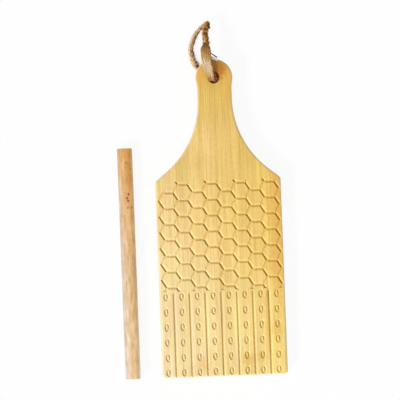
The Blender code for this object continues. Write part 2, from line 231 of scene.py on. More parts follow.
def drawn_line(name, points, closed=False, fullness=()):
    """A curve of straight runs through the points, for the node trees to follow."""
    curve = bpy.data.curves.new(name, "CURVE")
    curve.dimensions = "3D"
    spline = curve.splines.new("POLY")
    spline.points.add(len(points) - 1)
    for target, point in zip(spline.points, points):
        target.co = (*point, 1.0)
    for target, full in zip(spline.points, fullness):
        target.radius = full
    spline.use_cyclic_u = closed
    return curve


def put(tree, kind, wires=None, **settings):
    """One node in a tree; wires maps an input to the socket or the value that feeds it."""
    node = tree.nodes.new(kind)
    for name, value in settings.items():
        setattr(node, name, value)
    for key, value in (wires or {}).items():
        if isinstance(value, bpy.types.NodeSocket):
            tree.links.new(value, node.inputs[key])
        else:
            node.inputs[key].default_value = value
    return node


def result(kind, wires, output=0, **settings):
    """One output of a new node, which stands in the tree of the first socket that feeds it."""
    tree = next(value.id_data for value in wires.values() if isinstance(value, bpy.types.NodeSocket))
    return put(tree, kind, wires, **settings).outputs[output]


def calc(operation, *values):
    """The result of a maths node on numbers and sockets."""
    return result("ShaderNodeMath", dict(enumerate(values)), operation=operation)


def times(first, second):
    return calc("MULTIPLY", first, second)


def plus(first, second):
    return calc("ADD", first, second)


def minus(first, second):
    return calc("SUBTRACT", first, second)


def swayed(middle, value, reach):
    """The middle, moved up or down by as much of reach as value is above or below a half."""
    return calc("MULTIPLY_ADD", minus(value, 0.5), reach, middle)


def calc_vector(operation, *values):
    """The result of a vector maths node: a number for LENGTH and DOT_PRODUCT."""
    output = "Value" if operation in ("LENGTH", "DOT_PRODUCT") else "Vector"
    return result("ShaderNodeVectorMath", dict(enumerate(values)), output, operation=operation)


def scaled(value, factor):
    return result("ShaderNodeVectorMath", {0: value, "Scale": factor}, operation="SCALE")


def stretched(value, factors):
    """A vector or colour times three numbers or another one."""
    return calc_vector("MULTIPLY", value, factors)


def shifted(value, way):
    return calc_vector("ADD", value, way)


def vector(x=0.0, y=0.0, z=0.0):
    return result("ShaderNodeCombineXYZ", {"X": x, "Y": y, "Z": z})


def parts_of(value):
    """The three numbers of a vector, by the names X, Y and Z."""
    return put(value.id_data, "ShaderNodeSeparateXYZ", {0: value}).outputs


def new_tree(name, kind, inputs, outputs):
    """An empty node group and its own sockets, whose names are given for each kind of value."""
    tree = bpy.data.node_groups.new(name, kind)
    for way, sockets in (("INPUT", inputs), ("OUTPUT", outputs)):
        for socket, labels in sockets.items():
            for label in labels.split(", "):
                tree.interface.new_socket(label, in_out=way, socket_type="NodeSocket" + socket)
    return tree, put(tree, "NodeGroupInput").outputs, put(tree, "NodeGroupOutput").inputs


def geometry_tree(name, **inputs):
    """An empty geometry tree, with a geometry and a material besides the inputs that are named."""
    return new_tree(name, "GeometryNodeTree", {
        "Geometry": "Geometry", **inputs, "Material": "Material"}, {"Geometry": "Geometry"})


def finish_tree(made, given, out):
    """Every geometry tree ends in real geometry with its material set."""
    real = result("GeometryNodeRealizeInstances", {0: made})
    covered = result("GeometryNodeSetMaterial", {0: real, "Material": given["Material"]})
    covered.id_data.links.new(covered, out["Geometry"])
    return covered.id_data


def made_by(tree, name, base, values):
    """A plain mesh object from what a geometry tree makes of a base mesh or curve."""
    maker = link(name + "_maker", base)
    nodes = maker.modifiers.new(tree.name, "NODES")
    nodes.node_group = tree
    for item in tree.interface.items_tree:
        if item.in_out == "INPUT" and item.name in values:
            nodes[item.identifier] = values[item.name]
    graph = bpy.context.evaluated_depsgraph_get()
    mesh = bpy.data.meshes.new_from_object(maker.evaluated_get(graph))
    mesh.name = name
    bpy.data.objects.remove(maker, do_unlink=True)
    return link(name, mesh)


def v_bit(name, width):
    """A bit's outline, drawn with its depth as positive y, which leaves soft rims."""
    half = width / 2
    side = [
        (half + rim_softness, -cut_overrun),
        (half + rim_softness, 0.0),
        (half, 0.25 * rim_softness),
        (half - rim_softness, rim_softness),
        (0.12 * half, 0.90 * groove_depth),
        (0.04 * half, 0.96 * groove_depth),
    ]
    points = [(x, y, 0.0) for x, y in side] + [(-x, y, 0.0) for x, y in reversed(side)]
    return link(name, drawn_line(name, points, closed=True))


def tube(line, outline, **more):
    """An outline led along a line, closed at both ends."""
    return result("GeometryNodeCurveToMesh", {"Curve": line, "Profile Curve": outline,
                  "Fill Caps": True, **more})


def swept(line, bit):
    """What the bit takes out when it is led along a line."""
    level = result("GeometryNodeSetCurveNormal", {0: line}, mode="Z_UP")
    return tube(level, result("GeometryNodeObjectInfo", {"Object": bit}, "Geometry"))


def ring_of(sides, radius):
    return result("GeometryNodeCurvePrimitiveCircle", {"Resolution": sides, "Radius": radius})


def read(tree, what):
    """What a geometry tree reads from its geometry: Position, Normal, Tangent, Radius or Index."""
    return put(tree, "GeometryNodeInput" + what).outputs[0]


def on_points(points, thing):
    placed = result("GeometryNodeInstanceOnPoints", {"Points": points, "Instance": thing})
    return result("GeometryNodeRealizeInstances", {0: placed})


def line_of_points(count, step, start=(0.0, 0.0, 0.0)):
    return result("GeometryNodeMeshLine", {"Count": count, "Start Location": start, "Offset": step})


def moved(geometry, offset):
    return result("GeometryNodeSetPosition", {"Geometry": geometry, "Offset": offset})


def honeycomb_tree():
    """Grooves of a honeycomb: zigzags between the columns of cells, and flats across each column."""
    tree, given, out = geometry_tree(
        "honeycomb_grooves", Object="Bit", Int="Columns, Rows",
        Float="Column Pitch, Flat, Slant, Half Cell, Left, First Flat, Top, Bottom, Surface")
    half = given["Half Cell"]
    down = times(half, -1.0)
    odd = calc("MODULO", read(tree, "Index"), 2.0)
    column_step = vector(x=given["Column Pitch"])
    stagger = vector(y=times(down, odd))

    zig = line_of_points(calc("MULTIPLY_ADD", given["Rows"], 2.0, 6.0), vector(y=down),
                         vector(y=times(half, 2.0)))
    zig = moved(zig, vector(x=times(given["Slant"], odd)))
    posts = line_of_points(plus(given["Columns"], 1.0), column_step, vector(
        given["Left"], given["First Flat"], given["Surface"]))
    zigs = on_points(moved(posts, stagger), zig)
    at = parts_of(read(tree, "Position"))
    left_limit = calc("MULTIPLY_ADD", given["Slant"], 1.5, given["Left"])
    high_limit = calc("MULTIPLY_ADD", half, -0.5, given["First Flat"])
    spare = times(calc("LESS_THAN", at["X"], left_limit), calc("GREATER_THAN", at["Y"], high_limit))
    zigs = result("GeometryNodeDeleteGeometry", {"Geometry": zigs, "Selection": spare}, domain="POINT")
    zigs = swept(result("GeometryNodeMeshToCurve", {0: zigs}), given["Bit"])

    rows = line_of_points(plus(given["Rows"], 2.0), vector(y=times(half, -2.0)))
    heads = line_of_points(given["Columns"], column_step, vector(
        plus(given["Left"], given["Slant"]), minus(given["First Flat"], half), given["Surface"]))
    corners = on_points(moved(heads, scaled(stagger, -1.0)), rows)
    flat = result("GeometryNodeCurvePrimitiveLine", {
        "Start": (0.0, 0.0, 0.0), "End": vector(x=given["Flat"])})
    flats = swept(on_points(corners, flat), given["Bit"])

    joined = put(tree, "GeometryNodeMeshBoolean", {"Self Intersection": True}, operation="UNION",
                 solver="EXACT")
    tree.links.new(zigs, joined.inputs["Mesh 2"])
    tree.links.new(flats, joined.inputs["Mesh 2"])
    height = minus(given["Top"], given["Bottom"])
    block = result("GeometryNodeMeshCube", {"Size": vector(field_block[0], height, field_block[1])})
    middle = vector(y=calc("MULTIPLY_ADD", height, 0.5, given["Bottom"]), z=given["Surface"])
    field = put(tree, "GeometryNodeMeshBoolean", operation="INTERSECT", solver="EXACT")
    tree.links.new(joined.outputs[0], field.inputs["Mesh 2"])
    tree.links.new(moved(block, middle), field.inputs["Mesh 2"])
    return finish_tree(field.outputs[0], given, out)


def furrow_tree():
    """Straight grooves side by side, which run off the board's lower end."""
    tree, given, out = geometry_tree("furrows", Object="Bit", Int="Count",
                                     Float="Pitch, First, Length, Overrun, Surface")
    points = line_of_points(given["Count"], vector(x=given["Pitch"]), vector(
        x=given["First"], z=given["Surface"]))
    run = result("GeometryNodeCurvePrimitiveLine", {
        "Start": vector(y=times(given["Overrun"], -1.0)), "End": vector(y=given["Length"])})
    return finish_tree(swept(on_points(points, run), given["Bit"]), given, out)


def oval_tree():
    """Rows of oval ring grooves: round ring cuts, drawn out along the board."""
    tree, given, out = geometry_tree(
        "oval_rings", Object="Bit", Int="Columns, Rows",
        Float="Column Pitch, Row Pitch, First X, First Y, Ring Radius, Stretch, Surface")
    ring = swept(ring_of(ring_steps, given["Ring Radius"]), given["Bit"])
    level = stretched(read(tree, "Position"), (1.0, 1.0, 0.0))
    share = stretched(calc_vector("NORMALIZE", level), (0.0, 1.0, 0.0))
    ring = moved(ring, scaled(share, given["Stretch"]))
    columns = line_of_points(given["Columns"], vector(x=given["Column Pitch"]), vector(
        given["First X"], given["First Y"], given["Surface"]))
    rows = line_of_points(given["Rows"], vector(y=times(given["Row Pitch"], -1.0)))
    return finish_tree(on_points(on_points(columns, rows), ring), given, out)


# The wood: sanded bamboo, pale straw at the lower end and more golden towards the handle, with
# fine dark fibres along it, hairline glue joints and a few patches of orange stain. The milled
# grooves show the same wood with painted shade: a little browner at their bottoms, and browner on
# the walls that face away from the lamp, which is partly the brown the bit leaves; the walls that
# face the lamp carry a painted highlight.
strip_count = 18
wood_tones = [
    (0.00, (0.905, 0.706, 0.334)), (0.26, (0.890, 0.662, 0.282)),
    (0.45, (0.880, 0.620, 0.225)), (0.62, (0.845, 0.590, 0.200)),
    (0.78, (0.800, 0.545, 0.172)), (0.89, (0.740, 0.475, 0.114)),
    (0.95, (0.705, 0.430, 0.088)), (1.00, (0.675, 0.385, 0.068)),
]
fine_fibres = (1900.0, 26.0, 1900.0)
coarse_fibres = (620.0, 8.0, 620.0)
fibre_bundles = (1150.0, 34.0, 1150.0)
speckles = (900.0, 420.0, 900.0)
hue_streaks = (150.0, 30.0, 150.0)
clouds = 28.0
dark_grain = (0.80, 0.72, 0.54)
pale_grain = (1.20, 1.28, 1.46)
left_tint = (0.985, 1.02, 1.19)
right_tint = (0.975, 0.945, 0.62)
grey_tint = (1.020, 0.985, 1.04)
yellow_tint = (0.990, 1.008, 0.94)
bundle_brown = (0.50, 0.28, 0.07)
glue_brown = (0.42, 0.24, 0.07)
glue_line_share = 0.016
brown = (0.480, 0.175, 0.012)
orange = (0.760, 0.430, 0.090)
rust = (0.560, 0.200, 0.020)
# The first two patches, brown, beside the cord's frayed band above the hole, are partly a stain and
# partly the cord's painted shadow; the rest are orange stain.
wood_stains_and_cord_shadow = [
    (0.0052, 0.2325, 0.0068, 0.0086, 0.90, brown),
    (0.0016, 0.2325, 0.0022, 0.0070, 0.80, brown),
    (0.0110, 0.2210, 0.0038, 0.0170, 0.65, orange),
    (-0.0110, 0.2310, 0.0034, 0.0095, 0.95, orange),
    (0.0455, 0.1080, 0.0095, 0.0560, 0.72, orange),
    (0.0364, 0.0830, 0.0040, 0.0150, 0.55, orange),
    (0.0345, 0.0600, 0.0011, 0.0075, 0.75, rust),
    (0.0343, 0.0430, 0.0018, 0.0240, 0.60, orange),
    (0.0280, 0.0140, 0.0040, 0.0050, 0.60, orange),
    (0.0180, 0.0120, 0.0050, 0.0055, 0.50, orange),
    (0.0410, 0.0340, 0.0060, 0.0075, 0.45, orange),
    (-0.0155, 0.0090, 0.0045, 0.0080, 0.40, orange),
]
sanded_roughness = 0.50
milled_roughness = 0.62
# The sanded board's rounded rims are paler: a painted highlight.
rim_highlight_pale = (0.90, 0.84, 0.70)
# Painted shade in the grooves: browner bottoms, and browner walls facing away from the lamp, partly the
# bit's browning; the walls facing the lamp get a painted highlight.
bottom_shade_brown = (0.46, 0.25, 0.05)
away_from_lamp = Vector((0.791, 0.612, 0.0))
wall_shade_tint = (0.50, 0.37, 0.11)
wall_highlight_tint = (1.07, 1.15, 1.32)


def opaque(colour):
    return (*colour, 1.0) if isinstance(colour, tuple) else colour


def ramp(value, stops):
    """A colour ramp; stops are (place, colour)."""
    node = put(value.id_data, "ShaderNodeValToRGB", {0: value})
    elements = node.color_ramp.elements
    while len(elements) < len(stops):
        elements.new(0.5)
    for element, (place, colour) in zip(elements, stops):
        element.position = place
        element.color = opaque(colour)
    return node.outputs["Color"]


def mixed(share, first, second):
    """Two colours mixed; share 0 gives the first and 1 the second."""
    return result("ShaderNodeMix", {"Factor": share, 6: opaque(first), 7: opaque(second)}, 2,
                  data_type="RGBA")


def between(value, low, high, start=0.0, end=1.0, smooth="LINEAR"):
    """Where value lies from low to high, on a scale from start to end."""
    return result("ShaderNodeMapRange", {"Value": value, "From Min": low, "From Max": high,
                  "To Min": start, "To Max": end}, interpolation_type=smooth)


def noise(where, scale, detail=2.0):
    """Noise of one scale, or drawn out by a scale for each axis."""
    if isinstance(scale, tuple):
        where, scale = stretched(where, scale), 1.0
    return result("ShaderNodeTexNoise", {"Vector": where, "Scale": scale, "Detail": detail})


def chosen_cells(where, scales, chosen):
    """1 in the small cells past a chosen share of them, and the distance from a cell's middle."""
    found = put(where.id_data, "ShaderNodeTexVoronoi", {
        "Vector": stretched(where, scales), "Scale": 1.0}).outputs
    own = result("ShaderNodeSeparateColor", {0: found["Color"]})
    return calc("GREATER_THAN", own, chosen), found["Distance"]


def stained_and_shaded(colour, where, soft_patches, low=0.5, high=1.2, ragged=()):
    """The colour with soft patches of stain and painted shade, each (x, y, half width, half height,
    strength, colour).

    ragged gives noises, each with its share, that tear the rims of the patches.
    """
    for x, y, wide, tall, strength, patch_colour in soft_patches:
        away = stretched(calc_vector("SUBTRACT", where, (x, y, 0.0)), (1 / wide, 1 / tall, 0.0))
        distance = calc_vector("LENGTH", away)
        for tear, share in ragged:
            distance = swayed(distance, tear, share)
        mask = between(distance, low, high, strength, 0.0, "SMOOTHSTEP")
        colour = mixed(mask, colour, patch_colour)
    return colour


def bamboo_group():
    """Colour and height of laminated bamboo, from a place in the board's own frame."""
    tree, given, out = new_tree("laminated_bamboo", "ShaderNodeTree", {
        "Vector": "Place", "Float": "Strip Width, Half Width, Length"}, {
        "Color": "Color", "Float": "Height"})
    at = parts_of(given["Place"])
    strips = calc("DIVIDE", plus(at["X"], given["Half Width"]), given["Strip Width"])
    own = result("ShaderNodeTexWhiteNoise", {"W": plus(calc("FLOOR", strips), 0.5)}, "Value",
                 noise_dimensions="1D")
    place = shifted(given["Place"], vector(y=times(own, 3.0)))
    fine = noise(place, fine_fibres, 3.0)
    coarse = noise(place, coarse_fibres)
    cloud = noise(given["Place"], clouds)
    speckle = noise(given["Place"], speckles)
    light = 0.5
    for value, share in ((fine, 1.3), (coarse, 0.75), (own, 0.16), (cloud, 0.5), (speckle, 0.5)):
        light = swayed(light, value, share)
    tone = ramp(calc("DIVIDE", at["Y"], given["Length"]), wood_tones)
    side = between(at["X"], times(given["Half Width"], -1.0), given["Half Width"])
    tint = stretched(mixed(light, dark_grain, pale_grain), mixed(side, left_tint, right_tint))
    hue = noise(shifted(stretched(place, hue_streaks), (5.0, 0.0, 0.0)), 1.0, 1.0)
    tint = stretched(tint, mixed(between(hue, 0.35, 0.65), grey_tint, yellow_tint))
    colour = stretched(tone, tint)

    chosen, distance = chosen_cells(place, fibre_bundles, 0.62)
    colour = mixed(times(between(distance, 0.18, 0.42, 0.35, 0.0), chosen), colour, bundle_brown)
    joint = calc("LESS_THAN", calc("PINGPONG", strips, 0.5), glue_line_share)
    colour = mixed(times(joint, 0.28), colour, glue_brown)
    colour = stained_and_shaded(colour, given["Place"], wood_stains_and_cord_shadow, 0.35, 1.30, ((coarse, 1.6), (speckle, 1.1)))
    tree.links.new(colour, out["Color"])
    tree.links.new(calc("MULTIPLY_ADD", fine, 0.6, times(coarse, 0.4)), out["Height"])
    return tree


def new_material(name, roughness, specular):
    """A material, its Principled shader, and the place on the object that it colours."""
    material = bpy.data.materials.new(name)
    material.use_nodes = True
    shader = material.node_tree.nodes["Principled BSDF"]
    shader.inputs["Roughness"].default_value = roughness
    shader.inputs["Specular IOR Level"].default_value = specular
    return material, shader, put(material.node_tree, "ShaderNodeTexCoord").outputs["Object"]


def finish_material(shader, colour, height, rough=None, *, bump_depth, bump_strength):
    """Every material ends in its colour and bump, and most have a roughness that changes."""
    wires = shader.id_data.links
    wires.new(colour, shader.inputs["Base Color"])
    if rough:
        wires.new(rough, shader.inputs["Roughness"])
    bump = result("ShaderNodeBump", {
        "Height": height, "Distance": bump_depth, "Strength": bump_strength})
    wires.new(bump, shader.inputs["Normal"])


bamboo = bamboo_group()


def bamboo_material(name, roughness, bottom_shade_share=0.0, wall_shade_share=0.0):
    """Bamboo in the board's own frame, with painted shade browner by bottom_shade_share at a groove's
    bottom.

    Walls that face away from the lamp get painted shade by wall_shade_share, partly the bit's browning,
    and the walls across a painted highlight.
    """
    material, shader, where = new_material(name, roughness, specular=0.35)
    place = result("ShaderNodeMapping", {"Vector": where, "Location": board_at,
                   "Rotation": (lean, 0.0, 0.0)}, vector_type="TEXTURE")
    wood = put(shader.id_data, "ShaderNodeGroup", {
        "Place": place, "Strip Width": board_width / strip_count, "Half Width": half_width,
        "Length": board_length}, node_tree=bamboo).outputs
    colour = wood["Color"]
    normal = where.node.outputs["Normal"]
    if not bottom_shade_share:
        # A painted highlight on the rounded rims and sides of the sanded faces.
        up = calc("ABSOLUTE", parts_of(normal)["Z"])
        rim_highlight = times(between(up, 0.95, 0.45, 0.0, 0.50), between(up, 0.05, 0.35, 0.35, 1.0))
        colour = mixed(rim_highlight, colour, rim_highlight_pale)
    else:
        # Painted shade, browner towards a groove's bottom.
        depth = between(parts_of(place)["Z"], board_thickness - 0.3 * groove_depth,
                        board_thickness - groove_depth, 0.0, bottom_shade_share)
        colour = mixed(depth, colour, bottom_shade_brown)
        # Painted shade on the walls that face away from the lamp, partly the bit's browning, and a
        # painted highlight on the walls that face it.
        facing = calc_vector("DOT_PRODUCT", normal, away_from_lamp)
        for high, tint in ((0.55, wall_shade_tint), (-0.55, wall_highlight_tint)):
            share = between(facing, 0.40 * high, 0.95 * high, 0.0, wall_shade_share)
            colour = mixed(share, colour, stretched(colour, tint))
    rough = between(wood["Height"], 0.3, 0.7, roughness - 0.08, roughness + 0.10)
    finish_material(shader, colour, wood["Height"], rough, bump_depth=0.0001, bump_strength=0.5)
    return material


sanded_bamboo = bamboo_material("sanded_bamboo", sanded_roughness)
milled_bamboo = bamboo_material("milled_bamboo", milled_roughness, bottom_shade_share=0.14, wall_shade_share=1.0)
furrowed_bamboo = bamboo_material(
    "furrowed_bamboo", milled_roughness, bottom_shade_share=0.12, wall_shade_share=0.62)
bits = [v_bit("honeycomb_bit", honeycomb_groove), v_bit("furrow_bit", furrow_groove),
        v_bit("ring_bit", ring_groove)]
cutters = [
    made_by(honeycomb_tree(), "honeycomb_cutter", bpy.data.meshes.new("honeycomb"), {
        "Bit": bits[0], "Columns": cell_columns, "Column Pitch": column_pitch,
        "Flat": column_pitch * cell_flat_share, "Slant": column_pitch * (1 - cell_flat_share),
        "Half Cell": cell_height / 2, "Rows": cell_rows, "Left": cell_left_margin - half_width,
        "First Flat": honeycomb_top - honeycomb_stub, "Top": honeycomb_top,
        "Bottom": furrow_length + field_gap, "Surface": board_thickness, "Material": milled_bamboo}),
    made_by(furrow_tree(), "furrow_cutter", bpy.data.meshes.new("furrows"), {
        "Bit": bits[1], "Count": stripe_count - 1, "Pitch": stripe_pitch,
        "First": first_stripe_x + stripe_pitch / 2, "Length": furrow_length, "Overrun": furrow_groove,
        "Surface": board_thickness, "Material": furrowed_bamboo}),
    made_by(oval_tree(), "ring_cutter", bpy.data.meshes.new("rings"), {
        "Bit": bits[2], "Columns": stripe_count, "Column Pitch": stripe_pitch, "Rows": ring_rows,
        "Row Pitch": ring_row_pitch, "First X": first_stripe_x,
        "First Y": furrow_length - ring_drop, "Ring Radius": ring_middle[0],
        "Stretch": ring_middle[1] - ring_middle[0], "Surface": board_thickness,
        "Material": furrowed_bamboo}),
    link("bore", bore_mesh()),
]
cutters[-1].data.materials.append(furrowed_bamboo)

blank = link("blank", blank_mesh())
blank.data.materials.append(sanded_bamboo)
rounding = blank.modifiers.new("rounding", "BEVEL")
rounding.width = edge_rounding
rounding.segments = rounding_steps
rounding.limit_method = "ANGLE"
rounding.angle_limit = rounding_angle
for cutter in cutters:
    cutting = blank.modifiers.new(cutter.name, "BOOLEAN")
    cutting.operation = "DIFFERENCE"
    cutting.object = cutter
    cutting.material_mode = "TRANSFER"
carved = bpy.data.meshes.new_from_object(blank.evaluated_get(bpy.context.evaluated_depsgraph_get()))
for item in (blank, *bits, *cutters):
    bpy.data.objects.remove(item, do_unlink=True)
carved.transform(board_place)
carved.shade_smooth()
carved.set_sharp_from_angle(angle=sharp_angle)
carved_board = link("carved_board", carved)
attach(carved_board, "board")
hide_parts(*[name for name in frame["nodes"] if name.startswith("bamboo_strip")])


# The hanging cord: two-ply jute twine, threaded through the hole in the handle. It runs from one
# side of its knot round the end of the loop, along the table, under the head, up through the hole
# and over the face to the knot's other side. It is fluffed up and fullest next to the knot.
ply_radius = 0.00098
ply_offset = 0.00078
ply_sides = 12
ply_twist_length = 0.0068
ply_unevenness = 0.22
ply_lumps = 420.0
yarn_fibres = 2.6
yarn_twist = 420.0
yarn_pitch = 90.0
yarn_depth = 0.5
line_step = 0.0004
first_turn = 0.60
slack_turns = 3.5
slack_reach = (0.31, 0.54)
# The second ply is browned along the slack leg, partly its own colour and partly painted shade on the
# leg's side away from the lamp.
far_ply_shade = 0.56
below_hole = Vector((swing["pos_m"][0], 0.1060, 0.0))
cord_route = [
    (-0.0050, 0.0232, 0.0167), (-0.0048, 0.0270, 0.0165), (-0.0046, 0.0308, 0.0161),
    (-0.0044, 0.0344, 0.0155), (-0.0042, 0.0377, 0.0144), (-0.0041, 0.0405, 0.0125),
    (-0.0043, 0.0421, 0.0098), (-0.0050, 0.0421, 0.0066), (-0.0065, 0.0404, 0.0038),
    (-0.0087, 0.0375, 0.0022), (-0.0115, 0.0340, 0.0018), (-0.0143, 0.0298, 0.0018),
    (-0.0165, 0.0251, 0.0018), (-0.0175, 0.0200, 0.0018), (-0.0168, 0.0150, 0.0018),
    (-0.0144, 0.0106, 0.0018), (-0.0110, 0.0071, 0.0018), (-0.0072, 0.0043, 0.0018),
    (-0.0040, 0.0023, 0.0019), (-0.0012, 0.0006, 0.0028), (0.0008, -0.0008, 0.0053),
    (0.0015, -0.0016, 0.0090), (0.0013, -0.0018, 0.0118), (0.0006, -0.0010, 0.0149),
    (-0.0006, 0.0013, 0.0173), (-0.0022, 0.0044, 0.0182), (-0.0039, 0.0080, 0.0182),
    (-0.0050, 0.0114, 0.0178), (-0.0052, 0.0148, 0.0173),
]
cord_fullness = [
    (0.00, 1.55), (0.05, 1.50), (0.10, 1.40), (0.15, 1.22), (0.20, 1.04), (0.30, 0.98), (0.38, 1.08),
    (0.44, 1.18), (0.49, 1.58), (0.545, 1.66), (0.585, 1.22), (0.62, 1.04), (0.85, 1.10), (0.91, 1.30),
    (1.00, 1.38)]
loose_parts = [
    ((-0.0150, 0.0125), 0.0100, Vector((0.0014, 0.0, 0.0004))),
    ((-0.0040, 0.0405), 0.0050, Vector((0.0010, -0.0009, 0.0))),
    ((-0.0072, 0.0412), 0.0035, Vector((-0.0012, -0.0002, 0.0))),
    ((-0.0045, 0.0320), 0.0060, Vector((-0.0005, 0.0, 0.0))),
    ((-0.0105, 0.0352), 0.0085, Vector((-0.0008, 0.0005, 0.0))),
    ((-0.0168, 0.0200), 0.0060, Vector((0.0005, 0.0, 0.0))),
]
# Colours along the cord; the near-black stretch where it runs under the head and up through the hole is
# painted shade.
cord_colours_and_hole_shade = [
    (0.00, (0.54, 0.290, 0.085)), (0.08, (0.54, 0.265, 0.062)),
    (0.16, (0.48, 0.225, 0.050)), (0.22, (0.50, 0.285, 0.115)),
    (0.30, (0.84, 0.590, 0.330)), (0.45, (0.97, 0.760, 0.500)),
    (0.62, (0.84, 0.590, 0.320)), (0.75, (0.15, 0.050, 0.010)),
    (0.88, (0.20, 0.065, 0.010)), (0.93, (0.78, 0.560, 0.310)),
    (1.00, (0.86, 0.680, 0.440)),
]
jute_dark = (0.12, 0.038, 0.005)
# Dark patches on the cord: partly its own patchy colour, partly painted shade along the side of the
# lying leg away from the lamp and where the cord goes under the head's edge.
cord_stains_and_shade = [(*stain, jute_dark) for stain in (
    (0.0122, 0.1452, 0.0019, 0.0034, 0.95), (0.0089, 0.1424, 0.0016, 0.0017, 0.85),
    (0.0085, 0.1391, 0.0019, 0.0017, 0.85), (0.0101, 0.1372, 0.0017, 0.0017, 0.80),
    (0.0100, 0.1338, 0.0012, 0.0014, 0.55), (0.0071, 0.1306, 0.0014, 0.0020, 0.70),
    (0.0061, 0.1440, 0.0014, 0.0014, 0.60), (0.0036, 0.1402, 0.0009, 0.0024, 0.80),
    (0.0017, 0.1362, 0.0008, 0.0034, 0.85), (0.0005, 0.1318, 0.0008, 0.0036, 0.90),
    (-0.0004, 0.1276, 0.0009, 0.0038, 0.90), (-0.0022, 0.1268, 0.0010, 0.0009, 0.45),
    (-0.0014, 0.1234, 0.0007, 0.0012, 0.55), (0.0002, 0.1208, 0.0008, 0.0010, 0.60),
    (0.0014, 0.1186, 0.0009, 0.0014, 0.70), (0.0018, 0.1157, 0.0016, 0.0018, 0.90),
)]


def smooth_line(points, steps=8):
    """The smooth curve (Catmull-Rom) through the points, in small steps."""
    at = [Vector(point) for point in points]
    padded = [2 * at[0] - at[1], *at, 2 * at[-1] - at[-2]]
    line = []
    for p0, p1, p2, p3 in zip(padded, padded[1:], padded[2:], padded[3:]):
        for step in range(steps):
            t = step / steps
            line.append(0.5 * (2 * p1 + (p2 - p0) * t + (2 * p0 - 5 * p1 + 4 * p2 - p3) * t ** 2
                               + (3 * p1 - p0 - 3 * p2 + p3) * t ** 3))
    line.append(at[-1])
    return line


def laid(route, steps=8):
    """The smooth curve along a route that is given from the point below the hole."""
    return [point + below_hole for point in smooth_line(route, steps)]


def fullness_along(line, stops):
    """How full the twine is at each point, read from stops of (share of the length, fullness)."""
    reach = [0.0]
    for a, b in zip(line, line[1:]):
        reach.append(reach[-1] + (b - a).length)
    full = []
    for distance in reach:
        share = distance / reach[-1]
        index = max(i for i in range(len(stops) - 1) if stops[i][0] <= share)
        (s0, f0), (s1, f1) = stops[index:index + 2]
        full.append(f0 + (f1 - f0) * (share - s0) / (s1 - s0))
    return full


def marked(geometry, name, value, **settings):
    """The geometry with a named value stored along it, for its material to read."""
    return result("GeometryNodeStoreNamedAttribute", {
        "Geometry": geometry, "Name": name, "Value": value}, **settings)


def twine_tree():
    """Two round plies that wind about each other along a line, each a little uneven."""
    tree, given, out = geometry_tree(
        "two_ply_twine", Float="Ply Radius, Ply Offset, Twist Length, Slack Turns, Step, Unevenness")
    line = result("GeometryNodeResampleCurve", {"Curve": given["Geometry"], "Length": given["Step"]},
                  mode="LENGTH")
    along = put(tree, "GeometryNodeSplineParameter").outputs
    line = marked(line, "along_share", along["Factor"])
    fullness = read(tree, "Radius")
    normal = read(tree, "Normal")
    side = calc_vector("CROSS_PRODUCT", read(tree, "Tangent"), normal)
    turns = plus(calc("DIVIDE", along["Length"], given["Twist Length"]), first_turn)
    slack = times(between(along["Factor"], *slack_reach), given["Slack Turns"])
    turn = times(minus(turns, slack), 2 * pi)
    plies = put(tree, "GeometryNodeJoinGeometry")
    for index in range(2):
        angle = plus(turn, index * pi)
        lump = result("ShaderNodeTexNoise", {"W": plus(along["Length"], index * 1.7),
                      "Scale": ply_lumps, "Detail": 1.0}, noise_dimensions="1D")
        swell = times(swayed(1.0, lump, given["Unevenness"]), fullness)
        across = shifted(scaled(normal, calc("COSINE", angle)), scaled(side, calc("SINE", angle)))
        ply = moved(line, scaled(across, times(given["Ply Offset"], swell)))
        ply = marked(ply, "ply_length", plus(along["Length"], index * 1.0))
        about = calc_vector("NORMALIZE", read(tree, "Position"))
        ring = ring_of(ply_sides, given["Ply Radius"])
        ring = marked(ring, "ply_side", about, data_type="FLOAT_VECTOR")
        tree.links.new(tube(ply, ring, Scale=swell), plies.inputs[0])
    return finish_tree(plies.outputs[0], given, out)


def read_mark(tree, name, output="Fac"):
    return put(tree, "ShaderNodeAttribute", attribute_name=name).outputs[output]


def jute_yarn_group():
    """Fibres that wind steeply round a ply, with dark and pale flecks along them."""
    tree, given, out = new_tree("jute_yarn", "ShaderNodeTree", {
        "Color": "Color, Dark, Pale", "Float": "Fibre Scale, Fibre Twist, Depth"}, {
        "Color": "Color", "Float": "Height"})
    length = read_mark(tree, "ply_length")
    turned = result("ShaderNodeVectorRotate", {
        "Vector": read_mark(tree, "ply_side", "Vector"), "Angle": times(length, given["Fibre Twist"])},
        rotation_type="Z_AXIS")
    where = shifted(turned, vector(z=times(length, yarn_pitch)))
    fibres = noise(where, given["Fibre Scale"], 3.0)
    clumps = noise(stretched(where, (1.0, 1.0, 3.2)), 1.3)
    colour = scaled(given["Color"], between(fibres, 0.30, 0.62, minus(1.0, given["Depth"]), 1.12))
    colour = mixed(between(clumps, 0.47, 0.34, 0.0, 0.60), colour, given["Dark"])
    colour = mixed(between(clumps, 0.57, 0.70, 0.0, 0.60), colour, given["Pale"])
    tree.links.new(colour, out["Color"])
    tree.links.new(fibres, out["Height"])
    return tree


yarn = jute_yarn_group()


